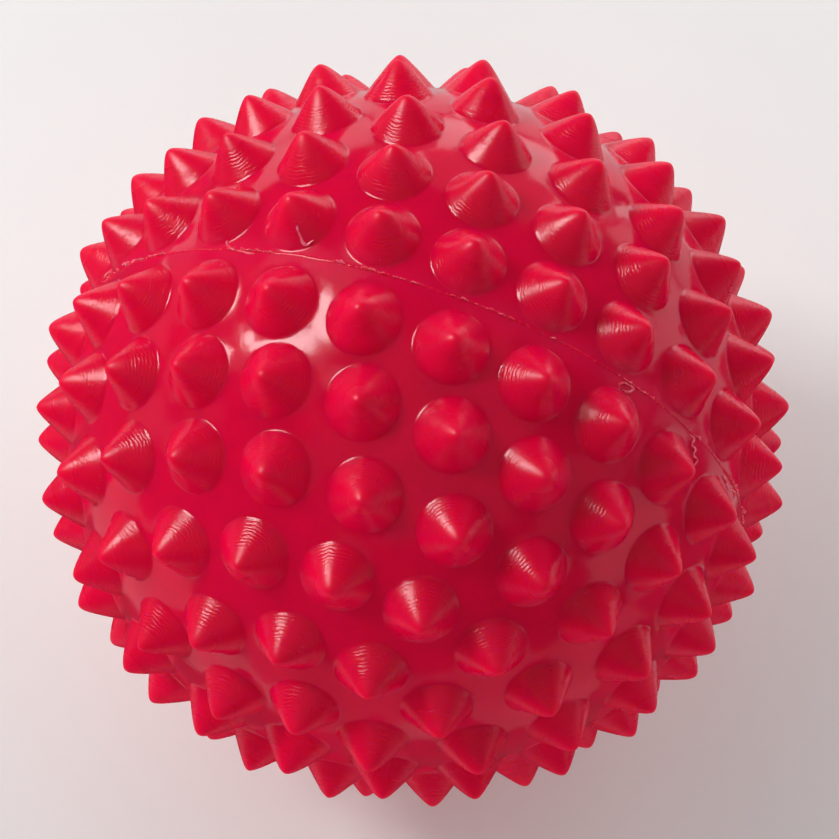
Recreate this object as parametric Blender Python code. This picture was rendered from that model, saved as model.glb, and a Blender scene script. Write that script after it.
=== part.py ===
"""Inflatable spiky massage ball: two nubbed half skins joined at a seam, and a plug valve.

The ball's centre is the origin. The halves meet in the XZ plane, the valve's axis is the Y
axis with its mouth on the +Y side, and the ball rests with -Z down. Sizes are in metres.
"""
import math

import bmesh
import bpy
from mathutils import Vector
from mathutils.geometry import delaunay_2d_cdt

# Ball
TIP_RADIUS = 0.0450
SKIN_RADIUS = 0.0409
WALL = 0.0025
INNER_RADIUS = SKIN_RADIUS - WALL

# Nubs: solid cones moulded on the skin, blunt at the tip
NUB_BASE_RADIUS = 0.0041
NUB_TIP_RADIUS = 0.0006
NUB_SIDES = 8

# Rows of nubs: degrees from the seam, nubs in the row, degrees from +Z to its first nub
VALVE_HALF_ROWS = (
    (6.4, 26, 7.0),
    (18.6, 24, 5.5),
    (31.0, 21, 4.5),
    (44.4, 17, 19.5),
    (58.0, 13, 18.0),
    (71.5, 8, 14.5),
)
PLAIN_HALF_ROWS = (
    (7.8, 26, 9.0),
    (20.0, 24, 14.0),
    (33.0, 21, 4.0),
    (46.8, 18, 3.5),
    (61.0, 13, 22.0),
    (75.0, 7, 4.0),
    (90.0, 1, 0.0),
)

# Seam: a weld bead with a thin fin between the rims and a band behind them
SEAM_SIDES = 52
FIN_THICKNESS = 0.0003
FIN_GAP = 0.0002
FIN_HEIGHT = 0.00025
RIM_OFFSET = FIN_THICKNESS / 2 + FIN_GAP
BAND_GAP = 0.0003
BAND_THICKNESS = 0.0010
BAND_WIDTH = 0.0050

# Inside of the skin: degrees from the seam of the rows of points that it is drawn through
INSIDE_ROWS = (15.0, 30.0, 45.0, 60.0, 75.0)

# Valve: radii about the Y axis, and heights along it from the ball's centre
VALVE_SIDES = 24
GAP = 0.0003
SEAT_HOLE_RADIUS = 0.0056
SEAT_NECK_RADIUS = SEAT_HOLE_RADIUS - GAP
SEAT_TOP = 0.0416
SEAT_FLANGE_RADIUS = 0.0072
SEAT_FLANGE_THICKNESS = 0.00075
SEAT_INNER_FLANGE_RADIUS = 0.0076
SEAT_INNER_FLANGE_TOP = 0.0373
SEAT_INNER_FLANGE_THICKNESS = 0.0010
SEAT_TUBE_RADIUS = 0.0039
SEAT_TUBE_END = 0.0270
SEAT_BORE_RADIUS = 0.0023
RECESS_RADIUS = 0.0046
RECESS_DEPTH = 0.0015

PLUG_HEAD_RADIUS = 0.0042
PLUG_HEAD_PROUD = 0.0002
PLUG_HEAD_EDGE = 0.0003
PLUG_STEM_RADIUS = 0.0018
PLUG_RIB_RADIUS = 0.0021
PLUG_RIB_COUNT = 3
PLUG_RIB_PITCH = 0.0024
PLUG_RIB_LENGTH = 0.0012
PLUG_FIRST_RIB = 0.0016
PLUG_STEM_LENGTH = 0.0110
PLUG_NOSE_RADIUS = 0.0011
PLUG_NOSE_LENGTH = 0.0014

CRIMSON = (0.66, 0.004, 0.035)
DEEP_CRIMSON = (0.50, 0.004, 0.028)


def direction(latitude, longitude):
    """Unit vector: degrees from the seam plane towards +Y, and degrees from +Z towards +X."""
    lat, lon = math.radians(latitude), math.radians(longitude)
    return Vector((math.cos(lat) * math.sin(lon), math.sin(lat), math.cos(lat) * math.cos(lon)))


def circle(axis, height, radius, count):
    """Points of a circle about an axis through the origin, at a height along it."""
    across = Vector((0, 1, 0)).cross(axis)
    across = across.normalized() if across.length > 1e-6 else Vector((1, 0, 0))
    other = axis.cross(across)
    points = []
    for step in range(count):
        turn = math.tau * step / count
        points.append(axis * height + radius * (math.cos(turn) * across + math.sin(turn) * other))
    return points


def circle_on_sphere(axis, sphere_radius, radius, count):
    return circle(axis, math.sqrt(sphere_radius ** 2 - radius ** 2), radius, count)


def row_directions(side, rows):
    """The axis of every nub of a half: side is 1 on the valve's half and -1 on the other."""
    axes = []
    for latitude, count, start in rows:
        for step in range(count):
            axes.append(direction(side * latitude, start + 360 * step / count))
    return axes


def add_sheet(bm, sphere_radius, side, rings, points=()):
    """Triangulate one side of a sphere through rings of points, the first one its rim.

    The inside of every other ring is left open. Returns each ring's vertices in order.
    The triangulation is done on a stereographic map, which keeps circles round.
    """
    places, ring_of, ring_indices, borders = [], [], [], []
    for number, ring in enumerate(rings):
        first = len(places)
        indices = list(range(first, first + len(ring)))
        ring_indices.append(indices)
        borders += list(zip(indices, indices[1:] + indices[:1]))
        places += ring
        ring_of += [number] * len(ring)
    places += points
    ring_of += [None] * len(points)

    flat = [Vector((p.x, p.z)) / (sphere_radius + side * p.y) for p in places]
    mapped = delaunay_2d_cdt(flat, borders, [], 0, 1e-7)
    triangles, sources = mapped[2], [origin[0] for origin in mapped[3]]
    verts = {source: bm.verts.new(places[source]) for source in sources}
    for triangle in triangles:
        corners = [sources[index] for index in triangle]
        numbers = {ring_of[corner] for corner in corners}
        if len(numbers) == 1 and None not in numbers:
            continue
        bm.faces.new([verts[corner] for corner in corners])
    return [[verts[index] for index in indices] for indices in ring_indices]


def bridge(bm, ring_a, ring_b):
    """A band of quads between two rings with the same number of vertices."""
    count = len(ring_a)
    for step in range(count):
        after = (step + 1) % count
        bm.faces.new((ring_a[step], ring_a[after], ring_b[after], ring_b[step]))


def add_nub(bm, base_ring, axis):
    tip = [bm.verts.new(p) for p in circle(axis, TIP_RADIUS, NUB_TIP_RADIUS, len(base_ring))]
    bridge(bm, base_ring, tip)
    bm.faces.new(tip)


def material(name, colour, roughness):
    made = bpy.data.materials.new(name)
    made.use_nodes = True
    shader = made.node_tree.nodes["Principled BSDF"]
    shader.inputs["Base Color"].default_value = (*colour, 1)
    shader.inputs["Roughness"].default_value = roughness
    shader.inputs["Metallic"].default_value = 0
    made.diffuse_color = (*colour, 1)
    return made


def add_object(name, bm, finish, location=(0, 0, 0)):
    bmesh.ops.recalc_face_normals(bm, faces=bm.faces)
    mesh = bpy.data.meshes.new(name)
    bm.to_mesh(mesh)
    bm.free()
    mesh.shade_smooth()
    mesh.set_sharp_from_angle(angle=math.radians(25))
    mesh.materials.append(finish)
    made = bpy.data.objects.new(name, mesh)
    made.location = location
    bpy.context.scene.collection.objects.link(made)
    return made


def half_skin(name, side, rows, hole_radius, finish):
    """One half: nubbed outside, smooth inside, a flat rim at the seam, and the valve's hole."""
    bm = bmesh.new()
    pole = Vector((0, side, 0))
    axes = row_directions(side, rows)

    outer_rings = [circle(pole, RIM_OFFSET, math.sqrt(SKIN_RADIUS ** 2 - RIM_OFFSET ** 2), SEAM_SIDES)]
    inner_rings = [circle(pole, RIM_OFFSET, math.sqrt(INNER_RADIUS ** 2 - RIM_OFFSET ** 2), SEAM_SIDES)]
    inside = []
    for latitude in INSIDE_ROWS:
        count = round(SEAM_SIDES * math.cos(math.radians(latitude)))
        inside += [INNER_RADIUS * direction(side * latitude, 360 * step / count) for step in range(count)]
    if hole_radius:
        outer_rings.append(circle_on_sphere(pole, SKIN_RADIUS, hole_radius, VALVE_SIDES))
        inner_rings.append(circle_on_sphere(pole, INNER_RADIUS, hole_radius, VALVE_SIDES))
    else:
        inside.append(INNER_RADIUS * pole)
    openings = len(outer_rings)
    outer_rings += [circle_on_sphere(axis, SKIN_RADIUS, NUB_BASE_RADIUS, NUB_SIDES) for axis in axes]

    outer = add_sheet(bm, SKIN_RADIUS, side, outer_rings)
    inner = add_sheet(bm, INNER_RADIUS, side, inner_rings, inside)
    for outer_ring, inner_ring in zip(outer[:openings], inner):
        bridge(bm, outer_ring, inner_ring)
    for axis, base_ring in zip(axes, outer[openings:]):
        add_nub(bm, base_ring, axis)
    return add_object(name, bm, finish)


def turned(name, profile, sides, finish, closed, location=(0, 0, 0)):
    """A profile of (radius, height) points turned about the Y axis."""
    bm = bmesh.new()
    verts = [bm.verts.new((0, height, radius)) for radius, height in profile]
    pairs = list(zip(verts, verts[1:]))
    if closed:
        pairs.append((verts[-1], verts[0]))
    edges = [bm.edges.new(pair) for pair in pairs]
    bmesh.ops.spin(bm, geom=verts + edges, cent=(0, 0, 0), axis=(0, 1, 0), dvec=(0, 0, 0),
                   angle=math.tau, steps=sides, use_merge=True, use_duplicate=False)
    bmesh.ops.remove_doubles(bm, verts=bm.verts, dist=1e-6)
    return add_object(name, bm, finish, location)


def seam_weld(finish):
    """T section: the fin shows as a fine raised line, the band lies behind both rims."""
    fin = FIN_THICKNESS / 2
    band = BAND_WIDTH / 2
    band_outside = INNER_RADIUS - BAND_GAP
    band_inside = band_outside - BAND_THICKNESS
    profile = (
        (SKIN_RADIUS + FIN_HEIGHT, fin),
        (band_outside, fin),
        (band_outside, band),
        (band_inside, band),
        (band_inside, -band),
        (band_outside, -band),
        (band_outside, -fin),
        (SKIN_RADIUS + FIN_HEIGHT, -fin),
    )
    return turned("seam_weld", profile, SEAM_SIDES, finish, closed=True)


def valve_seat(finish):
    """A bush with a flange on each side of the skin, a bore, and a recess for the plug's head."""
    flange_bottom = SEAT_TOP - SEAT_FLANGE_THICKNESS
    inner_flange_bottom = SEAT_INNER_FLANGE_TOP - SEAT_INNER_FLANGE_THICKNESS
    recess_floor = SEAT_TOP - RECESS_DEPTH
    profile = (
        (RECESS_RADIUS, SEAT_TOP),
        (SEAT_FLANGE_RADIUS, SEAT_TOP),
        (SEAT_FLANGE_RADIUS, flange_bottom),
        (SEAT_NECK_RADIUS, flange_bottom),
        (SEAT_NECK_RADIUS, SEAT_INNER_FLANGE_TOP),
        (SEAT_INNER_FLANGE_RADIUS, SEAT_INNER_FLANGE_TOP),
        (SEAT_INNER_FLANGE_RADIUS, inner_flange_bottom),
        (SEAT_TUBE_RADIUS, inner_flange_bottom),
        (SEAT_TUBE_RADIUS, SEAT_TUBE_END),
        (SEAT_BORE_RADIUS, SEAT_TUBE_END),
        (SEAT_BORE_RADIUS, recess_floor),
        (RECESS_RADIUS, recess_floor),
    )
    return turned("valve_seat", profile, VALVE_SIDES, finish, closed=True)


def valve_plug(finish):
    """A stopper: heights are from the underside of its head, which is the object's origin."""
    under_head = SEAT_TOP - RECESS_DEPTH + GAP
    head_top = SEAT_TOP + PLUG_HEAD_PROUD - under_head
    profile = [
        (0, head_top),
        (PLUG_HEAD_RADIUS - PLUG_HEAD_EDGE, head_top),
        (PLUG_HEAD_RADIUS, head_top - PLUG_HEAD_EDGE),
        (PLUG_HEAD_RADIUS, 0),
        (PLUG_STEM_RADIUS, 0),
    ]
    for number in range(PLUG_RIB_COUNT):
        top = -PLUG_FIRST_RIB - number * PLUG_RIB_PITCH
        profile += [(PLUG_STEM_RADIUS, top), (PLUG_RIB_RADIUS, top), (PLUG_STEM_RADIUS, top - PLUG_RIB_LENGTH)]
    profile += [
        (PLUG_STEM_RADIUS, PLUG_NOSE_LENGTH - PLUG_STEM_LENGTH),
        (PLUG_NOSE_RADIUS, -PLUG_STEM_LENGTH),
        (0, -PLUG_STEM_LENGTH),
    ]
    return turned("valve_plug", profile, VALVE_SIDES, finish, closed=False, location=(0, under_head, 0))


def build():
    for old in list(bpy.data.objects):
        bpy.data.objects.remove(old, do_unlink=True)
    skin = material("skin", CRIMSON, 0.22)
    weld = material("weld", CRIMSON, 0.30)
    seat = material("seat", DEEP_CRIMSON, 0.30)
    plug = material("plug", DEEP_CRIMSON, 0.35)
    half_skin("valve_half_skin", 1, VALVE_HALF_ROWS, SEAT_HOLE_RADIUS, skin)
    half_skin("plain_half_skin", -1, PLAIN_HALF_ROWS, None, skin)
    seam_weld(weld)
    valve_seat(seat)
    valve_plug(plug)


build()
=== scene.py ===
"""Looks of the inflatable spiky massage ball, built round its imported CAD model.

Sizes are in metres in the CAD model's frame: the ball's centre is the origin, the seam lies in the
XZ plane, the valve's mouth faces +Y, and the ball rests with -Z down.
"""
import math
import random

import bmesh
import bpy
import numpy as np
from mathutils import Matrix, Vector, noise
from mathutils.geometry import delaunay_2d_cdt


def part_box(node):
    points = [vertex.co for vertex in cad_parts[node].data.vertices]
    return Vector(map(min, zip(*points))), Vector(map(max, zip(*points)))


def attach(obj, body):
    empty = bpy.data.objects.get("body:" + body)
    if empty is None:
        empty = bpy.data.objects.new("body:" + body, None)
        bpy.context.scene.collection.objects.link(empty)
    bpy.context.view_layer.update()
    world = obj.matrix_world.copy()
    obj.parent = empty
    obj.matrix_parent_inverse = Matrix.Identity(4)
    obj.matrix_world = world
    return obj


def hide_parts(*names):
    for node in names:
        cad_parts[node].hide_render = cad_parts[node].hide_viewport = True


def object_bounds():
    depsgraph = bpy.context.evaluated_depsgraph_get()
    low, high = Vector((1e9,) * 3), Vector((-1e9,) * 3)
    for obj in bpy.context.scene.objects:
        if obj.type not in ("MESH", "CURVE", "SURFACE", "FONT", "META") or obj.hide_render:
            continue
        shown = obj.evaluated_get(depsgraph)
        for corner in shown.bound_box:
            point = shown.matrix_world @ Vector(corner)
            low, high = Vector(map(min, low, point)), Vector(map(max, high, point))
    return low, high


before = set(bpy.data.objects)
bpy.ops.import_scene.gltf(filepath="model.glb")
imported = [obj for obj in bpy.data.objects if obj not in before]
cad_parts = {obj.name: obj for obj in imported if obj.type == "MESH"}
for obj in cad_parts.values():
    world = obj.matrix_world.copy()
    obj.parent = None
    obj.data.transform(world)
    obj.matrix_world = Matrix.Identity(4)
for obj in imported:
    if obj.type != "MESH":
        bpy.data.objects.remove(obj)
CAD_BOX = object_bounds()
MM = 0.001

# Ball. The nub at the plain half's pole gives the radius over the tips
TIP_RADIUS = -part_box("plain_half_skin")[0].y
SKIN_RADIUS = 40.9 * MM
WALL = 2.5 * MM
INNER_RADIUS = SKIN_RADIUS - WALL

# Rows of nubs: degrees from the seam, nubs in the row, degrees from +Z to its first nub
VALVE_HALF_ROWS = (
    (6.4, 26, 7.0),
    (18.6, 24, 5.5),
    (31.0, 21, 4.5),
    (44.4, 17, 19.5),
    (58.0, 13, 18.0),
    (71.5, 8, 14.5),
)
PLAIN_HALF_ROWS = (
    (7.8, 26, 9.0),
    (20.0, 24, 14.0),
    (33.0, 21, 4.0),
    (46.8, 18, 3.5),
    (61.0, 13, 22.0),
    (75.0, 7, 4.0),
    (90.0, 1, 0.0),
)

# Nubs: cones that round off towards the tip. Each one differs a little from the next
NUB_BASE_RADIUS = 4.12 * MM
NUB_FOOT_RADIUS = 4.32 * MM
NUB_SIDES = 36
NUB_FOOT_STEPS = 4
NUB_FLANK_STEPS = 11
TIP_CURVATURE_RADIUS = (0.55 * MM, 0.85 * MM)
TIP_SHORTFALL = 0.12 * MM
TIP_LEAN = 0.13 * MM

# Skin between the nubs, and the inside of the wall. The rows of points on them are a share of a step
# apart, and the points keep a share of a step clear of each hole
SKIN_STEP = 1.0 * MM
INSIDE_STEP = 2.6 * MM
ROW_SPACING = 0.87
HOLE_CLEARANCE = 0.42
RIM_OFFSET = 0.1 * MM
RIM_SIDES = 260
HOLE_RADIUS = 5.6 * MM
HOLE_SIDES = 64

# Seam: a low bead over the joint, a band behind it, and fins of flash along some stretches
SEAM_STEPS = 2600
BEAD_HALF_WIDTH = 0.20 * MM
BEAD_HEIGHT = 0.055 * MM
BEAD_DEPTH = 0.06 * MM
BEAD_WANDER = 0.10 * MM
SEAM_NECK = 0.08 * MM
SEAM_NECK_DEPTH = 0.12 * MM
BAND_OUTSIDE = INNER_RADIUS - 0.3 * MM
BAND_INSIDE = BAND_OUTSIDE - 1.0 * MM
BAND_HALF_WIDTH = 2.5 * MM
FIN_HEIGHT = 0.36 * MM
FIN_HALF_THICKNESS = 0.065 * MM
FIN_LEAN = 0.30 * MM
FIN_TAPER_DEGREES = 1.2

# Stretches of the seam where the flash stands up: degrees from +Z towards +X, first and last
FLASH_STRETCHES = (
    (-74, -45),
    (-32, -22),
    (-13, 2),
    (6, 19),
    (21, 25),
    (35, 44),
    (52, 56),
    (65, 74),
    (78, 91),
    (118, 126),
    (151, 163),
    (188, 193),
    (214, 231),
    (252, 259),
    (270, 279),
)

# Torn threads of flash that lie on the skin: degrees from the seam and from +Z along each one,
# and how far above the skin where it climbs a nub
FLASH_THREADS = (
    (
        (11.0, -31.2), (8.5, -30.2), (6.0, -29.4), (3.3, -30.5),
        (1.6, -32.0), (0.6, -31.7), (-0.2, -29.8), (-0.5, -26),
    ),
    ((2.6, -74), (2.1, -67.5), (0.7, -57.5), (0.1, -52)),
    ((-1.9, 36.2), (-1.1, 36.0), (-0.5, 37.2), (-0.5, 38.7), (-1.4, 38.0), (-1.8, 36.7)),
    (
        (-0.6, 53), (-0.7, 54.2), (-1.8, 54.1), (-1.9, 55.4),
        (-2.8, 55.3), (-3.0, 56.8), (-4.5, 56.3), (-5.6, 56.5),
    ),
    ((-1.0, 65.5), (-1.1, 67.7), (-1.5, 69.4), (-0.5, 72.6), (-1.4, 73.4)),
    ((0.1, 79), (1.0, 83), (2.8, 88.2), (2.2, 89.6), (0.8, 90.2)),
    ((0.4, 122), (1.5, 124), (2.2, 127), (1.1, 129)),
    ((-0.5, 156), (-1.9, 157), (-2.5, 160), (-1.2, 162)),
    ((0.4, 205), (1.7, 207), (3.4, 206), (5.0, 207)),
    ((-0.4, 240), (-1.4, 243), (-0.9, 247)),
    ((0.3, 262), (1.4, 263), (1.9, 266), (0.6, 268)),
    (
        (4.2, -19.3, 2.2 * MM),
        (3.1, -18.9, 1.5 * MM),
        (2.2, -18.4, 0.7 * MM),
        (1.8, -17.6, 0.2 * MM),
        (2.6, -16.6, 0.5 * MM),
    ),
)
THREAD_RADIUS = 0.115 * MM
THREAD_SIDES = 7
THREAD_STEP = 0.16 * MM

# Valve: radii about the Y axis, and heights along it
SEAT_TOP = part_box("valve_seat")[1].y
SEAT_TUBE_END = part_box("valve_seat")[0].y
SEAT_INNER_FLANGE_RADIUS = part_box("valve_seat")[1].x
SEAT_NECK_RADIUS = 5.45 * MM
SEAT_FLANGE_RADIUS = 7.2 * MM
SEAT_INNER_FLANGE_TOP = 37.3 * MM
SEAT_INNER_FLANGE_THICKNESS = 1.0 * MM
SEAT_TUBE_RADIUS = 3.9 * MM
SEAT_BORE_RADIUS = 2.3 * MM
RECESS_RADIUS = 4.6 * MM
RECESS_DEPTH = 1.5 * MM
PLUG_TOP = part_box("valve_plug")[1].y
PLUG_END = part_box("valve_plug")[0].y
PLUG_HEAD_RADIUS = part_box("valve_plug")[1].x
PLUG_UNDER_HEAD = SEAT_TOP - RECESS_DEPTH + 0.3 * MM
PLUG_STEM_RADIUS = 1.8 * MM
PLUG_RIB_RADIUS = 2.1 * MM
PLUG_RIBS = 3
PLUG_RIB_PITCH = 2.4 * MM
PLUG_FIRST_RIB = 1.6 * MM
TURNED_SIDES = 96

# Colours of the soft vinyl, linear, and how far their tones stray: in the thin skin between the nubs,
# darker as painted shade, on the solid nubs, lighter as painted glow, and in the valve
CRIMSON = (0.80, 0.0012, 0.055)
DEEP_CRIMSON = (0.58, 0.0012, 0.040)
# The pale flash colour is painted light, standing in for the light that the thin flash catches
FLASH_PAINTED_LIGHT = (1.0, 0.24, 0.33, 1)
VALLEY_PAINTED_SHADE_TONES = (0.87, 0.98)
NUB_PAINTED_GLOW_TONES = (0.92, 1.03)
VALVE_TONES = (0.92, 1.08)

# Light in the vinyl: how far red light travels, and the reach of red, green and blue as shares of that.
# The halves let none in up to the first distance from the seam, and all of it from the second one on
VINYL_IOR = 1.5
LIGHT_REACH = (1.0, 0.10, 0.16)
SKIN_LIGHT_DEPTH = 1.8 * MM
VALVE_LIGHT_DEPTH = 0.8 * MM
FLASH_LIGHT_DEPTH = 0.15 * MM
OPAQUE_BESIDE_SEAM = (0.4 * MM, 2.4 * MM)

# Stretches of the way up a nub's flank, in millimetres, over which the vinyl changes
SKIN_TO_NUB = (0.25, 0.8)
# Over this stretch the painted shade between the nubs gives way to the painted glow of the nubs
PAINTED_SHADE_TO_GLOW = (0.0, 1.6)
GROOVES_FADE = (3.0, 4.6)
ROUGHER_ABOVE = (3.4, 5.2)

# Surface of the vinyl: roughness, and the heights of its bumps
SKIN_ROUGHNESS = 0.07
LOW_NUB_ROUGHNESS = 0.22
HIGH_NUB_ROUGHNESS = 0.34
FLASH_ROUGHNESS = (0.14, 0.30)
SEAT_ROUGHNESS = 0.22
PLUG_ROUGHNESS = 0.28
GROOVE_RELIEF = 0.026 * MM
GROOVE_RADIANS_PER_MM = 15.0
GROOVE_WOBBLE = 14.0
GROOVE_PHASE_SPREAD = 40.0
PEEL_RELIEF = 0.006 * MM
GRAIN_RELIEF = 0.006 * MM
SPECK_RELIEF = 0.05 * MM
VALVE_GRAIN_RELIEF = 0.008 * MM
VALVE_SPECK_RELIEF = 0.03 * MM
FLASH_RELIEF = 0.012 * MM

# Camera: the view of the ball from above and a little to the right of the plain half
CAMERA_AZIMUTH = 19.1
CAMERA_ELEVATION = 67.2
CAMERA_DISTANCE = 346 * MM
CAMERA_LENS = 123.7
CAMERA_SENSOR = 36
CAMERA_NEAR = 10 * MM
AIM_RIGHT = 0.86 * MM
AIM_UP = 1.25 * MM

# Studio
PANEL_DISTANCE = 1.2
BACKDROP_RADIUS = 3.0
FLOOR_RADIUS = 1.0
WORLD_RADIANCE = 0.045
BACKDROP_SHADES = ((0.70, 0.70, 0.70, 1), (0.76, 0.76, 0.76, 1))
FLOOR_SHADES = ((0.87, 0.87, 0.86, 1), (0.90, 0.90, 0.89, 1))
FLOOR_GLOW = 0.05

# Panels that light without being mirrored, and then panels that are only mirrored:
# name, degrees from +Y towards +X, degrees up, width, height, radiance
FILLS = (
    ("key", 267, 48, 0.32, 0.25, 21.0),
    ("high_back_fill", 0, 45, 0.75, 0.75, 1.0),
    ("high_back_right_fill", 45, 45, 0.75, 0.75, 1.0),
    ("high_left_fill", 270, 45, 0.75, 0.75, 1.0),
    ("high_back_left_fill", 315, 45, 0.75, 0.75, 1.2),
    ("low_back_fill", 0, 12, 0.95, 0.42, 2.4),
    ("low_back_right_fill", 45, 12, 0.95, 0.42, 2.6),
    ("low_front_right_fill", 135, 12, 0.95, 0.42, 2.2),
    ("low_front_fill", 180, 12, 0.95, 0.42, 1.5),
    ("low_front_left_fill", 225, 12, 0.95, 0.42, 1.6),
    ("low_left_fill", 270, 12, 0.95, 0.42, 2.5),
)
GLOWS = (
    ("soft_box", 277, 48, 0.44, 0.54, 10.5),
    ("soft_box_edge", 279, 49, 0.80, 0.78, 0.45),
    ("back_glow", 0, -2, 0.95, 0.44, 1.7),
    ("back_left_glow", 315, -4, 0.95, 0.40, 0.85),
    ("back_right_glow", 45, -4, 0.95, 0.40, 0.75),
    ("right_glow", 90, -4, 0.95, 0.40, 0.40),
    ("left_glow", 270, -4, 0.95, 0.40, 0.20),
    ("below_back_glow", 345, -34, 1.3, 0.80, 0.55),
    ("below_back_right_glow", 42, -34, 1.0, 0.80, 0.45),
    ("front_left_glow", 232, -38, 1.1, 0.8, 0.26),
    ("front_glow", 180, -38, 1.1, 0.8, 0.10),
    ("front_right_glow", 130, -38, 1.1, 0.8, 0.16),
    ("overhead_glow", 150, 64, 1.7, 1.5, 0.09),
    ("high_back_glow", 0, 20, 1.2, 0.40, 0.22),
    ("high_right_glow", 90, 20, 1.2, 0.40, 0.12),
    ("high_left_glow", 270, 20, 1.2, 0.40, 0.10),
)


# ---- geometry helpers ----

def direction(latitude, longitude):
    """Unit vector: degrees from the seam plane towards +Y, and degrees from +Z towards +X."""
    lat, lon = math.radians(latitude), math.radians(longitude)
    return Vector((math.cos(lat) * math.sin(lon), math.sin(lat), math.cos(lat) * math.cos(lon)))


def cross_axes(axis):
    """Two unit vectors across an axis, in the order that turns to the right about it."""
    across = Vector((0, 1, 0)).cross(axis)
    across = across.normalized() if across.length > 1e-6 else Vector((1, 0, 0))
    return across, axis.cross(across)


def circle(axis, height, radius, count):
    """Points of a circle about an axis through the origin, at a height along it."""
    across, other = cross_axes(axis)
    points = []
    for step in range(count):
        turn = math.tau * step / count
        points.append(axis * height + radius * (math.cos(turn) * across + math.sin(turn) * other))
    return points


def circle_on_sphere(axis, sphere_radius, radius, count):
    return circle(axis, math.sqrt(sphere_radius ** 2 - radius ** 2), radius, count)


def row_directions(side, rows):
    """The axis of every nub of a half: side is 1 on the valve's half and -1 on the other."""
    axes = []
    for latitude, count, start in rows:
        for step in range(count):
            axes.append(direction(side * latitude, start + 360 * step / count))
    return axes


def sphere_fill(sphere_radius, side, step, holes):
    """Points spread evenly over half a sphere, clear of its rim and of each (axis, radius) hole."""
    step_angle = math.degrees(step / sphere_radius)
    points = []
    latitude = step_angle
    while latitude < 90:
        count = max(1, round(360 * math.cos(math.radians(latitude)) / step_angle))
        shift = step_angle * noise.random()
        points += [direction(side * latitude, shift + 360 * turn / count) for turn in range(count)]
        latitude += step_angle * ROW_SPACING
    if holes:
        spread = np.array(points)
        axes = np.array([axis for axis, radius in holes])
        margin = HOLE_CLEARANCE * step
        reach = np.array([math.cos((radius + margin) / sphere_radius) for axis, radius in holes])
        clear = ((spread @ axes.T) < reach).all(axis=1)
        points = [point for point, keep in zip(points, clear) if keep]
    return [point * sphere_radius for point in points]


def add_sheet(bm, sphere_radius, side, rings, points):
    """Triangulate one side of a sphere through rings of points, the first one its rim.

    The inside of every other ring is left open. Returns each ring's vertices in order.
    The triangulation is done on a stereographic map, which keeps circles round.
    """
    places, ring_of, ring_indices, borders = [], [], [], []
    for number, ring in enumerate(rings):
        first = len(places)
        indices = list(range(first, first + len(ring)))
        ring_indices.append(indices)
        borders += list(zip(indices, indices[1:] + indices[:1]))
        places += ring
        ring_of += [number] * len(ring)
    places += points
    ring_of += [None] * len(points)

    flat = [Vector((p.x, p.z)) / (sphere_radius + side * p.y) for p in places]
    mapped = delaunay_2d_cdt(flat, borders, [], 0, 1e-7)
    triangles, sources = mapped[2], [origin[0] for origin in mapped[3]]
    verts = {source: bm.verts.new(places[source]) for source in sources}
    for triangle in triangles:
        corners = [sources[index] for index in triangle]
        numbers = {ring_of[corner] for corner in corners}
        if len(numbers) == 1 and None not in numbers:
            continue
        bm.faces.new([verts[corner] for corner in corners])
    return [[verts[index] for index in indices] for indices in ring_indices]


def bridge(bm, ring_a, ring_b):
    """A band of quads between two rings with the same number of vertices."""
    count = len(ring_a)
    for step in range(count):
        after = (step + 1) % count
        bm.faces.new((ring_a[step], ring_a[after], ring_b[after], ring_b[step]))


def rounded(corners, steps=4):
    """A profile from (radius, height, rounding) corners, each corner an arc of that rounding."""
    profile = []
    count = len(corners)
    for index, (radius, height, rounding) in enumerate(corners):
        here = Vector((radius, height))
        if rounding == 0:
            profile.append(here)
            continue
        before = Vector(corners[index - 1][:2]) - here
        after = Vector(corners[(index + 1) % count][:2]) - here
        reach = min(rounding, 0.45 * before.length, 0.45 * after.length)
        start, end = here + reach * before.normalized(), here + reach * after.normalized()
        for step in range(steps + 1):
            share = step / steps
            profile.append(start.lerp(here, share).lerp(here.lerp(end, share), share))
    return profile


def turned(name, profile, closed):
    """A profile of (radius, height) points turned about the Y axis."""
    bm = bmesh.new()
    rings = []
    for radius, height in profile:
        if radius < 1e-7:
            rings.append([bm.verts.new((0, height, 0))])
            continue
        ring = []
        for step in range(TURNED_SIDES):
            turn = math.tau * step / TURNED_SIDES
            ring.append(bm.verts.new((radius * math.sin(turn), height, radius * math.cos(turn))))
        rings.append(ring)
    pairs = list(zip(rings, rings[1:]))
    if closed:
        pairs.append((rings[-1], rings[0]))
    for ring_a, ring_b in pairs:
        if len(ring_a) == len(ring_b):
            bridge(bm, ring_a, ring_b)
            continue
        end, ring = (ring_a[0], ring_b) if len(ring_a) == 1 else (ring_b[0], ring_a)
        for step in range(TURNED_SIDES):
            bm.faces.new((end, ring[step], ring[(step + 1) % TURNED_SIDES]))
    return add_piece(name, bm, sharp_angle=40)


def add_piece(name, bm, sharp_angle):
    """An object made from a bmesh, smooth apart from edges that turn by more than an angle in degrees."""
    bmesh.ops.recalc_face_normals(bm, faces=bm.faces)
    mesh = bpy.data.meshes.new(name)
    bm.to_mesh(mesh)
    bm.free()
    mesh.shade_smooth()
    mesh.set_sharp_from_angle(angle=math.radians(sharp_angle))
    piece = bpy.data.objects.new(name, mesh)
    bpy.context.scene.collection.objects.link(piece)
    return piece


# ---- the skin and its nubs ----

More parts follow.
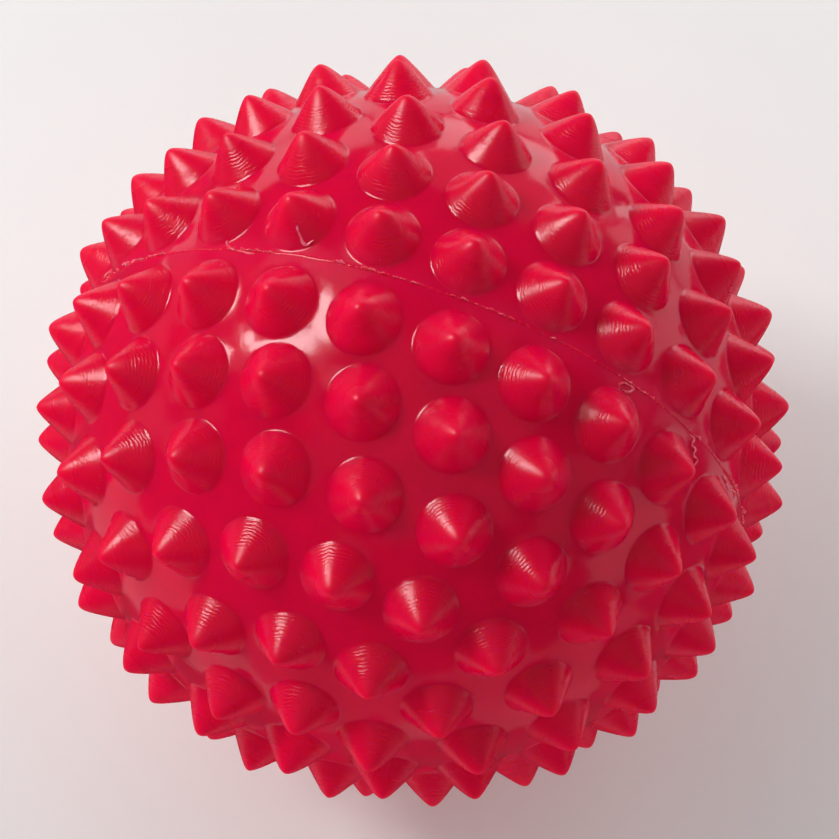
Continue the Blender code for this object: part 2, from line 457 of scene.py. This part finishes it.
def nub_profile(tip_height, tip_curve):
    """(radius, height) points of a nub: its foot's fillet, and a hyperbola from there to the tip.

    The hyperbola starts at the nub's base radius and has the given radius of curvature at the tip.
    """
    foot, base = (Vector((radius, math.sqrt(SKIN_RADIUS ** 2 - radius ** 2)))
                  for radius in (NUB_FOOT_RADIUS, NUB_BASE_RADIUS))
    drop = tip_height - base.y
    slope = drop / math.sqrt(base.x ** 2 - 2 * drop * tip_curve)
    depth = tip_curve * slope ** 2

    def on_flank(turn):
        return Vector((depth / slope * math.sinh(turn), tip_height + depth * (1 - math.cosh(turn))))

    start = math.asinh(slope / depth * (2 * NUB_BASE_RADIUS - NUB_FOOT_RADIUS))
    flank = on_flank(start)
    profile = []
    for step in range(NUB_FOOT_STEPS):
        share = step / NUB_FOOT_STEPS
        profile.append(foot.lerp(base, share).lerp(base.lerp(flank, share), share))
    profile += [on_flank(start * (1 - step / NUB_FLANK_STEPS)) for step in range(NUB_FLANK_STEPS)]
    return profile


def add_nub(bm, base_ring, axis, layers, chance):
    """A cone on its base ring. The layers record the way up its flank and a number of its own."""
    rise_layer, own_layer = layers
    tip_height = TIP_RADIUS - chance.uniform(0, TIP_SHORTFALL)
    profile = nub_profile(tip_height, chance.uniform(*TIP_CURVATURE_RADIUS))
    across, other = cross_axes(axis)
    turn = chance.uniform(0, math.tau)
    lean = chance.uniform(0, TIP_LEAN) * (math.cos(turn) * across + math.sin(turn) * other)
    own = chance.random()
    base_height = profile[0].y
    ring, rise = base_ring, 0
    for before, place in zip(profile, profile[1:]):
        rise += (place - before).length / MM
        shift = lean * ((place.y - base_height) / (tip_height - base_height)) ** 1.5
        points = circle(axis, place.y, place.x, NUB_SIDES)
        next_ring = [bm.verts.new(point + shift) for point in points]
        for vert in next_ring:
            vert[rise_layer] = rise
            vert[own_layer] = own
        bridge(bm, ring, next_ring)
        ring = next_ring
    tip = bm.verts.new(axis * tip_height + lean)
    tip[rise_layer] = rise + profile[-1].x / MM
    tip[own_layer] = own
    for step in range(NUB_SIDES):
        bm.faces.new((ring[step], ring[(step + 1) % NUB_SIDES], tip))


def half_skin(name, side, rows, hole_radius):
    """One half: nubbed outside, smooth inside, a flat rim at the seam, and the valve's hole."""
    bm = bmesh.new()
    layers = (bm.verts.layers.float.new("nub_rise"), bm.verts.layers.float.new("nub_own"))
    chance = random.Random(side)
    noise.seed_set(7)
    pole = Vector((0, side, 0))
    axes = row_directions(side, rows)
    holes = [(axis, NUB_FOOT_RADIUS) for axis in axes]
    outer_rings = [circle(pole, RIM_OFFSET, math.sqrt(SKIN_RADIUS ** 2 - RIM_OFFSET ** 2), RIM_SIDES)]
    inner_rings = [circle(pole, RIM_OFFSET, math.sqrt(INNER_RADIUS ** 2 - RIM_OFFSET ** 2), RIM_SIDES)]
    inner_holes = []
    if hole_radius:
        outer_rings.append(circle_on_sphere(pole, SKIN_RADIUS, hole_radius, HOLE_SIDES))
        inner_rings.append(circle_on_sphere(pole, INNER_RADIUS, hole_radius, HOLE_SIDES))
        holes.append((pole, hole_radius))
        inner_holes.append((pole, hole_radius))
    openings = len(outer_rings)
    outer_rings += [circle_on_sphere(axis, SKIN_RADIUS, NUB_FOOT_RADIUS, NUB_SIDES) for axis in axes]

    outside = sphere_fill(SKIN_RADIUS, side, SKIN_STEP, holes)
    outer = add_sheet(bm, SKIN_RADIUS, side, outer_rings, outside)
    inside = sphere_fill(INNER_RADIUS, side, INSIDE_STEP, inner_holes)
    inner = add_sheet(bm, INNER_RADIUS, side, inner_rings, inside)
    for outer_ring, inner_ring in zip(outer[:openings], inner):
        bridge(bm, outer_ring, inner_ring)
    for axis, base_ring in zip(axes, outer[openings:]):
        add_nub(bm, base_ring, axis, layers, chance)
    return add_piece(name, bm, sharp_angle=24)


# ---- the seam and its flash ----

def flash_share(longitude):
    """How far the flash stands up here, from 0 to 1: raised in the stretches and torn in between."""
    share = 0.0
    for first, last in FLASH_STRETCHES:
        middle, reach = (first + last) / 2, (last - first) / 2
        away = abs((longitude - middle + 180) % 360 - 180)
        share = max(share, min(1, (reach - away) / FIN_TAPER_DEGREES))
    if share <= 0:
        return 0.0
    spot = direction(0, longitude) * 60
    torn = 0.15 + 1.5 * noise.noise(spot) + 0.9 * noise.noise(spot * 4.1)
    return share * min(1, max(0, 1.4 * torn))


def seam_bead():
    """A closed T section led round the seam, its bead uneven and its fin torn."""
    bm = bmesh.new()
    flash_layer = bm.verts.layers.float.new("flash")
    sections = []
    for step in range(SEAM_STEPS):
        longitude = 360 * step / SEAM_STEPS
        out = direction(0, longitude)
        spot = out * 40
        wander = BEAD_WANDER * noise.noise(spot * 0.35)
        half = BEAD_HALF_WIDTH * (1 + 0.5 * noise.noise(spot * 1.1))
        crest = BEAD_HEIGHT * (0.8 + 0.7 * noise.noise(spot * 1.7) + 0.35 * noise.noise(spot * 6.3))
        fin = FIN_HEIGHT * flash_share(longitude)
        lean = FIN_LEAN * (noise.noise(spot * 0.9 + Vector((9, 0, 0))) + 0.7 * noise.noise(spot * 3.1))
        lean *= fin / FIN_HEIGHT
        root = max(FIN_HALF_THICKNESS, 0.35 * half)
        section = (
            (SKIN_RADIUS - BEAD_DEPTH, wander + half),
            (SKIN_RADIUS + 0.55 * crest, wander + 0.62 * half),
            (SKIN_RADIUS + crest, wander + root),
            (SKIN_RADIUS + crest + 0.6 * fin, wander + FIN_HALF_THICKNESS + 0.5 * lean),
            (SKIN_RADIUS + crest + fin + 0.01 * MM, wander + 0.6 * FIN_HALF_THICKNESS + lean),
            (SKIN_RADIUS + crest + fin + 0.01 * MM, wander - 0.6 * FIN_HALF_THICKNESS + lean),
            (SKIN_RADIUS + crest + 0.6 * fin, wander - FIN_HALF_THICKNESS + 0.5 * lean),
            (SKIN_RADIUS + crest, wander - root),
            (SKIN_RADIUS + 0.55 * crest, wander - 0.62 * half),
            (SKIN_RADIUS - BEAD_DEPTH, wander - half),
            (SKIN_RADIUS - SEAM_NECK_DEPTH, -SEAM_NECK),
            (BAND_OUTSIDE, -SEAM_NECK),
            (BAND_OUTSIDE, -BAND_HALF_WIDTH),
            (BAND_INSIDE, -BAND_HALF_WIDTH),
            (BAND_INSIDE, BAND_HALF_WIDTH),
            (BAND_OUTSIDE, BAND_HALF_WIDTH),
            (BAND_OUTSIDE, SEAM_NECK),
            (SKIN_RADIUS - SEAM_NECK_DEPTH, SEAM_NECK),
        )
        ring = [bm.verts.new(out * height + Vector((0, side, 0))) for height, side in section]
        for vert in ring[3:7]:
            vert[flash_layer] = min(1, 3 * fin / FIN_HEIGHT)
        sections.append(ring)
    for before, after in zip(sections, sections[1:] + sections[:1]):
        bridge(bm, before, after)
    return add_piece("seam_bead", bm, sharp_angle=50)


def along_curve(controls, step):
    """Points about a step apart on a smooth curve through the control points."""
    ends = [2 * controls[0] - controls[1], *controls, 2 * controls[-1] - controls[-2]]
    points = []
    for a, b, c, d in zip(ends, ends[1:], ends[2:], ends[3:]):
        count = max(2, round((c - b).length / step))
        for number in range(count):
            t = number / count
            bend = (2 * a - 5 * b + 4 * c - d) * t + (3 * b - a - 3 * c + d) * t * t
            points.append(b + 0.5 * t * ((c - a) + bend))
    return points + [controls[-1]]


def add_thread(bm, flash_layer, path):
    """A thin, uneven, pinched tube along a path that lies on the skin."""
    controls = [direction(*spot[:2]) * (SKIN_RADIUS + sum(spot[2:])) for spot in path]
    points = along_curve(controls, THREAD_STEP)
    rings = []
    last = len(points) - 1
    for index, point in enumerate(points):
        ahead = points[min(index + 1, last)] - points[max(index - 1, 0)]
        out = point.normalized()
        side = ahead.cross(out).normalized()
        spot = point / MM
        thick = THREAD_RADIUS * (1 + 0.55 * noise.noise(spot * 1.3) + 0.35 * noise.noise(spot * 5))
        thick *= min(1, 0.25 + min(index, last - index) / 4)
        flat = 1.25 + 0.5 * noise.noise(spot * 0.8)
        lift = THREAD_RADIUS * (0.45 + 0.8 * noise.noise(spot * 0.9))
        sway = THREAD_RADIUS * 1.4 * noise.noise(spot * 1.7)
        middle = point + out * lift + side * sway
        ring = []
        for corner in range(THREAD_SIDES):
            turn = math.tau * corner / THREAD_SIDES
            around = side * (flat * thick * math.cos(turn)) + out * (thick * math.sin(turn))
            ring.append(bm.verts.new(middle + around))
            ring[-1][flash_layer] = 1
        rings.append(ring)
    for before, after in zip(rings, rings[1:]):
        bridge(bm, before, after)
    bm.faces.new(rings[0])
    bm.faces.new(rings[-1])


def flash_threads():
    bm = bmesh.new()
    flash_layer = bm.verts.layers.float.new("flash")
    for path in FLASH_THREADS:
        add_thread(bm, flash_layer, path)
    return add_piece("flash_threads", bm, sharp_angle=60)


# ---- the valve ----

def valve_bush():
    """The seat: rounded flanges, a step round the mouth, a recess for the plug and a tube inside."""
    inner_bottom = SEAT_INNER_FLANGE_TOP - SEAT_INNER_FLANGE_THICKNESS
    flange_edge = math.sqrt(SKIN_RADIUS ** 2 - SEAT_FLANGE_RADIUS ** 2)
    corners = (
        (RECESS_RADIUS, SEAT_TOP, 0.25 * MM),
        (SEAT_NECK_RADIUS + 0.6 * MM, SEAT_TOP, 0.12 * MM),
        (SEAT_NECK_RADIUS + 0.75 * MM, SEAT_TOP - 0.22 * MM, 0.10 * MM),
        (SEAT_FLANGE_RADIUS - 0.15 * MM, SEAT_TOP - 0.32 * MM, 0.2 * MM),
        (SEAT_FLANGE_RADIUS, flange_edge - 0.1 * MM, 0.05 * MM),
        (SEAT_NECK_RADIUS, flange_edge - 0.1 * MM, 0),
        (SEAT_NECK_RADIUS, SEAT_INNER_FLANGE_TOP, 0),
        (SEAT_INNER_FLANGE_RADIUS, SEAT_INNER_FLANGE_TOP, 0.2 * MM),
        (SEAT_INNER_FLANGE_RADIUS, inner_bottom, 0.3 * MM),
        (SEAT_TUBE_RADIUS, inner_bottom, 0.4 * MM),
        (SEAT_TUBE_RADIUS, SEAT_TUBE_END, 0.3 * MM),
        (SEAT_BORE_RADIUS, SEAT_TUBE_END, 0.2 * MM),
        (SEAT_BORE_RADIUS, SEAT_TOP - RECESS_DEPTH, 0.25 * MM),
        (RECESS_RADIUS, SEAT_TOP - RECESS_DEPTH, 0.2 * MM),
    )
    return turned("valve_bush", rounded(corners), closed=True)


def valve_stopper():
    """The plug: a dished head with a raised ring, and a stem with rounded ribs and a blunt nose."""
    corners = [
        (0, PLUG_TOP - 0.45 * MM, 0),
        (1.5 * MM, PLUG_TOP - 0.45 * MM, 0.5 * MM),
        (2.6 * MM, PLUG_TOP - 0.05 * MM, 0.4 * MM),
        (3.2 * MM, PLUG_TOP, 0.3 * MM),
        (PLUG_HEAD_RADIUS - 0.1 * MM, PLUG_TOP - 0.1 * MM, 0.35 * MM),
        (PLUG_HEAD_RADIUS, PLUG_UNDER_HEAD, 0.2 * MM),
        (PLUG_STEM_RADIUS, PLUG_UNDER_HEAD, 0.2 * MM),
    ]
    for number in range(PLUG_RIBS):
        top = PLUG_UNDER_HEAD - PLUG_FIRST_RIB - number * PLUG_RIB_PITCH
        corners += [
            (PLUG_STEM_RADIUS, top, 0.1 * MM),
            (PLUG_RIB_RADIUS, top - 0.1 * MM, 0.15 * MM),
            (PLUG_RIB_RADIUS - 0.05 * MM, top - 0.45 * MM, 0.15 * MM),
            (PLUG_STEM_RADIUS, top - 1.2 * MM, 0.2 * MM),
        ]
    corners += [
        (PLUG_STEM_RADIUS, PLUG_END + 1.4 * MM, 0.4 * MM),
        (1.1 * MM, PLUG_END, 0.5 * MM),
        (0, PLUG_END, 0),
    ]
    return turned("valve_stopper", rounded(corners), closed=False)


# ---- materials ----

class Tree:
    """Short calls for building a material's node tree."""

    def __init__(self, name):
        self.material = bpy.data.materials.new(name)
        self.material.use_nodes = True
        self.nodes = self.material.node_tree.nodes
        self.links = self.material.node_tree.links
        self.shader = self.nodes["Principled BSDF"]
        self.place = self.add("ShaderNodeTexCoord").outputs["Object"]

    def add(self, kind, **settings):
        node = self.nodes.new(kind)
        for key, value in settings.items():
            setattr(node, key, value)
        return node

    def connect(self, value, socket):
        if isinstance(value, bpy.types.NodeSocket):
            self.links.new(value, socket)
        else:
            socket.default_value = value

    def attribute(self, name):
        return self.add("ShaderNodeAttribute", attribute_name=name).outputs["Fac"]

    def math(self, operation, first, second=0.0, third=0.0):
        node = self.add("ShaderNodeMath", operation=operation)
        for value, socket in zip((first, second, third), node.inputs):
            self.connect(value, socket)
        return node.outputs[0]

    def noise(self, per_mm, detail=2.0, roughness=0.5):
        node = self.add("ShaderNodeTexNoise")
        self.connect(self.place, node.inputs["Vector"])
        node.inputs["Scale"].default_value = per_mm / MM
        node.inputs["Detail"].default_value = detail
        node.inputs["Roughness"].default_value = roughness
        return node.outputs["Fac"]

    def spots(self, per_mm, size):
        """1 inside small round spots scattered over the surface, and 0 outside them."""
        node = self.add("ShaderNodeTexVoronoi")
        self.connect(self.place, node.inputs["Vector"])
        node.inputs["Scale"].default_value = per_mm / MM
        return self.ramp(node.outputs["Distance"], size, size * 0.5)

    def ramp(self, value, low, high, to_low=0.0, to_high=1.0):
        node = self.add("ShaderNodeMapRange", interpolation_type="SMOOTHSTEP")
        for part, socket in zip((value, low, high, to_low, to_high), node.inputs):
            self.connect(part, socket)
        return node.outputs[0]

    def mix(self, share, first, second):
        node = self.add("ShaderNodeMix", data_type="RGBA")
        for value, number in ((share, 0), (first, 6), (second, 7)):
            self.connect(value, node.inputs[number])
        return node.outputs[2]

    def bump(self, height, depth, under=None):
        """A bump whose height of 1 stands for a depth in metres."""
        node = self.add("ShaderNodeBump")
        node.inputs["Distance"].default_value = depth
        self.connect(height, node.inputs["Height"])
        if under:
            self.connect(under, node.inputs["Normal"])
        return node.outputs["Normal"]


def colour(rgb, factor=1.0):
    return (rgb[0] * factor, rgb[1] * factor, rgb[2] * factor, 1)


def soft_vinyl(tree, base, roughness, depth):
    """What every piece shares: glossy vinyl that lets light in, red light as far as the depth."""
    shader = tree.shader.inputs
    tree.connect(base, shader["Base Color"])
    tree.connect(roughness, shader["Roughness"])
    shader["IOR"].default_value = VINYL_IOR
    shader["Subsurface Weight"].default_value = 1.0
    shader["Subsurface Radius"].default_value = LIGHT_REACH
    shader["Subsurface Scale"].default_value = depth
    return tree.material


def skin_material():
    tree = Tree("glossy_crimson_vinyl")
    rise = tree.attribute("nub_rise")
    own = tree.attribute("nub_own")
    on_nub = tree.ramp(rise, *SKIN_TO_NUB)

    cloud = tree.noise(0.045, 2.0)
    mottle = tree.noise(0.35, 3.0)
    tone = tree.math("ADD", tree.math("MULTIPLY", cloud, 0.6), tree.math("MULTIPLY", mottle, 0.4))
    tone = tree.ramp(tone, 0.3, 0.7)
    # Painted shade darkens the skin between the nubs, and painted glow lightens the nubs
    painted_shading = tree.mix(tone, *(colour(CRIMSON, factor) for factor in VALLEY_PAINTED_SHADE_TONES))
    glowing_nub = tree.mix(tone, *(colour(CRIMSON, factor) for factor in NUB_PAINTED_GLOW_TONES))
    base = tree.mix(tree.ramp(rise, *PAINTED_SHADE_TO_GLOW), painted_shading, glowing_nub)

    # Turning marks from the mould: fine grooves round the lower flank, broken into patches
    own_phase = tree.math("MULTIPLY", own, GROOVE_PHASE_SPREAD)
    phase = tree.math("MULTIPLY_ADD", rise, GROOVE_RADIANS_PER_MM, own_phase)
    wobble = tree.math("MULTIPLY_ADD", tree.noise(0.9, 3.0, 0.6), GROOVE_WOBBLE, phase)
    grooves = tree.math("MULTIPLY", tree.math("SINE", wobble), 0.5)
    patches = tree.ramp(tree.noise(0.55, 2.0), 0.42, 0.62, 0.15, 1.0)
    low_flank = tree.ramp(rise, *GROOVES_FADE, 1.0, 0.2)
    marks = tree.math("MULTIPLY", grooves, tree.math("MULTIPLY", patches, low_flank))
    grain = tree.math("MULTIPLY_ADD", tree.noise(3.0, 3.0, 0.65), 0.8, -0.4)
    nub_height = tree.math("MULTIPLY", tree.math("ADD", marks, grain), on_nub)
    peel = tree.bump(tree.noise(0.8, 2.0), PEEL_RELIEF)
    grained = tree.bump(tree.noise(4.0, 2.0, 0.6), GRAIN_RELIEF, peel)
    specked = tree.bump(tree.spots(0.16, 0.035), SPECK_RELIEF, grained)
    grooved = tree.bump(nub_height, GROOVE_RELIEF, specked)

    smears = tree.ramp(tree.noise(0.25, 3.0), 0.35, 0.7)
    skin_rough = tree.math("MULTIPLY_ADD", smears, 0.06, SKIN_ROUGHNESS)
    flank_rough = tree.ramp(rise, *ROUGHER_ABOVE, LOW_NUB_ROUGHNESS, HIGH_NUB_ROUGHNESS)
    nub_rough = tree.math("MULTIPLY_ADD", smears, 0.07, flank_rough)
    roughness = tree.add("ShaderNodeMix")
    tree.connect(on_nub, roughness.inputs[0])
    tree.connect(skin_rough, roughness.inputs[2])
    tree.connect(nub_rough, roughness.inputs[3])
    made = soft_vinyl(tree, base, roughness.outputs[0], SKIN_LIGHT_DEPTH)

    # The halves let no light in beside the seam, where their rims would lose it
    split = tree.add("ShaderNodeSeparateXYZ")
    tree.connect(tree.place, split.inputs[0])
    from_seam = tree.math("ABSOLUTE", split.outputs["Y"])
    tree.connect(tree.ramp(from_seam, *OPAQUE_BESIDE_SEAM), tree.shader.inputs["Subsurface Weight"])
    tree.connect(grooved, tree.shader.inputs["Normal"])
    return made


def flash_material():
    """The skin's vinyl on the bead, painted paler where the flash is drawn out thin: painted light that
    the thin flash catches.
    """
    tree = Tree("torn_crimson_vinyl")
    clouds = tree.ramp(tree.noise(1.4, 3.0), 0.35, 0.6, 0.25, 1.0)
    # Painted light: the flash is painted paler in patches, as the light its thin vinyl catches
    painted_shading = tree.math("MULTIPLY", tree.attribute("flash"), clouds)
    base = tree.mix(painted_shading, colour(CRIMSON), FLASH_PAINTED_LIGHT)
    roughness = tree.ramp(tree.noise(2.0, 2.0), 0.3, 0.7, *FLASH_ROUGHNESS)
    made = soft_vinyl(tree, base, roughness, FLASH_LIGHT_DEPTH)
    tree.connect(tree.bump(tree.noise(5.0, 3.0, 0.6), FLASH_RELIEF), tree.shader.inputs["Normal"])
    return made


def valve_material(name, smoothest):
    tree = Tree(name)
    tone = tree.ramp(tree.noise(0.5, 3.0), 0.3, 0.7)
    base = tree.mix(tone, *(colour(DEEP_CRIMSON, factor) for factor in VALVE_TONES))
    roughness = tree.ramp(tree.noise(0.9, 3.0), 0.3, 0.7, smoothest, smoothest + 0.1)
    made = soft_vinyl(tree, base, roughness, VALVE_LIGHT_DEPTH)
    grained = tree.bump(tree.noise(3.0, 3.0, 0.6), VALVE_GRAIN_RELIEF)
    specked = tree.bump(tree.spots(0.5, 0.05), VALVE_SPECK_RELIEF, grained)
    tree.connect(specked, tree.shader.inputs["Normal"])
    return made


def backdrop_material():
    """A pale, evenly lit backdrop, slightly cloudy like painted canvas."""
    tree = Tree("pale_backdrop")
    tone = tree.ramp(tree.noise(0.001, 3.0), 0.3, 0.7)
    grey = tree.mix(tone, *BACKDROP_SHADES)
    tree.connect(grey, tree.shader.inputs["Emission Color"])
    tree.shader.inputs["Base Color"].default_value = (0, 0, 0, 1)
    tree.shader.inputs["Specular IOR Level"].default_value = 0
    tree.shader.inputs["Emission Strength"].default_value = 1
    tree.material.cycles.emission_sampling = "NONE"
    return tree.material


def floor_material():
    tree = Tree("pale_floor")
    tone = tree.ramp(tree.noise(0.01, 3.0), 0.3, 0.7)
    pale = tree.mix(tone, *FLOOR_SHADES)
    tree.connect(pale, tree.shader.inputs["Base Color"])
    tree.shader.inputs["Roughness"].default_value = 0.7
    tree.shader.inputs["Specular IOR Level"].default_value = 0.2
    tree.shader.inputs["Emission Color"].default_value = (1, 1, 1, 1)
    tree.shader.inputs["Emission Strength"].default_value = FLOOR_GLOW
    return tree.material


# ---- the object ----

def show(piece, body, node, material):
    """Stand a piece in for a CAD node and let it ride on that node's body."""
    piece.data.materials.append(material)
    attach(piece, body)
    if node:
        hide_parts(node)


def build_ball():
    skin = skin_material()
    flash = flash_material()
    seat_vinyl = valve_material("satin_seat_vinyl", SEAT_ROUGHNESS)
    plug_vinyl = valve_material("satin_plug_vinyl", PLUG_ROUGHNESS)
    valve_half = half_skin("valve_half_shell", 1, VALVE_HALF_ROWS, HOLE_RADIUS)
    plain_half = half_skin("plain_half_shell", -1, PLAIN_HALF_ROWS, None)
    show(valve_half, "ball", "valve_half_skin", skin)
    show(plain_half, "ball", "plain_half_skin", skin)
    show(seam_bead(), "ball", "seam_weld", flash)
    show(flash_threads(), "ball", None, flash)
    show(valve_bush(), "ball", "valve_seat", seat_vinyl)
    show(valve_stopper(), "plug", "valve_plug", plug_vinyl)


# ---- the studio ----

def camera_back():
    azimuth, elevation = math.radians(CAMERA_AZIMUTH), math.radians(CAMERA_ELEVATION)
    level = math.cos(elevation)
    return Vector((math.sin(azimuth) * level, -math.cos(azimuth) * level, math.sin(elevation)))


def add_camera():
    back = camera_back()
    right = Vector((0, 0, 1)).cross(back).normalized()
    target = AIM_RIGHT * right + AIM_UP * back.cross(right)
    data = bpy.data.cameras.new("camera")
    data.lens = CAMERA_LENS
    data.sensor_width = CAMERA_SENSOR
    data.clip_start = CAMERA_NEAR
    camera = bpy.data.objects.new("camera", data)
    camera.location = back * CAMERA_DISTANCE
    camera.rotation_mode = "QUATERNION"
    camera.rotation_quaternion = (target - camera.location).to_track_quat("-Z", "Y")
    bpy.context.scene.collection.objects.link(camera)
    bpy.context.scene.camera = camera


def add_floor():
    bpy.ops.mesh.primitive_circle_add(
        vertices=96, radius=FLOOR_RADIUS, fill_type="NGON", location=(0, 0, CAD_BOX[0].z))
    floor = bpy.context.object
    floor.name = "floor"
    floor.data.materials.append(floor_material())
    floor.visible_glossy = False


def add_backdrop():
    """A dome round the studio that only the camera sees, so it neither lights the ball nor shades it."""
    bpy.ops.mesh.primitive_uv_sphere_add(
        segments=96, ring_count=48, radius=BACKDROP_RADIUS, location=(0, 0, CAD_BOX[0].z))
    dome = bpy.context.object
    dome.name = "backdrop"
    dome.data.shade_smooth()
    dome.data.materials.append(backdrop_material())
    dome.visible_diffuse = dome.visible_glossy = False
    dome.visible_transmission = dome.visible_shadow = False


def add_panel(name, way, width, height, radiance, mirrored):
    """A soft panel facing the ball, either mirrored or lighting. The radiance is the panel's own."""
    data = bpy.data.lights.new(name, "AREA")
    data.shape = "RECTANGLE"
    data.size, data.size_y = width, height
    data.energy = radiance * math.pi * width * height
    panel = bpy.data.objects.new(name, data)
    panel.location = way * PANEL_DISTANCE
    panel.rotation_mode = "QUATERNION"
    panel.rotation_quaternion = way.to_track_quat("Z", "Y")
    panel.visible_glossy = mirrored
    panel.visible_diffuse = not mirrored
    bpy.context.scene.collection.objects.link(panel)


def add_world():
    world = bpy.data.worlds.new("studio")
    world.use_nodes = True
    background = world.node_tree.nodes["Background"]
    background.inputs["Color"].default_value = (1, 1, 1, 1)
    background.inputs["Strength"].default_value = WORLD_RADIANCE
    bpy.context.scene.world = world


def towards(azimuth, elevation):
    """Unit vector: degrees from +Y towards +X, and degrees above the floor."""
    turn, lift = math.radians(azimuth), math.radians(elevation)
    return Vector((math.sin(turn) * math.cos(lift), math.cos(turn) * math.cos(lift), math.sin(lift)))


def build_studio():
    bpy.context.scene.view_settings.view_transform = "Standard"
    add_camera()
    add_floor()
    add_backdrop()
    add_world()
    for name, azimuth, elevation, width, height, radiance in FILLS:
        add_panel(name, towards(azimuth, elevation), width, height, radiance, mirrored=False)
    for name, azimuth, elevation, width, height, radiance in GLOWS:
        add_panel(name, towards(azimuth, elevation), width, height, radiance, mirrored=True)


build_ball()
build_studio()
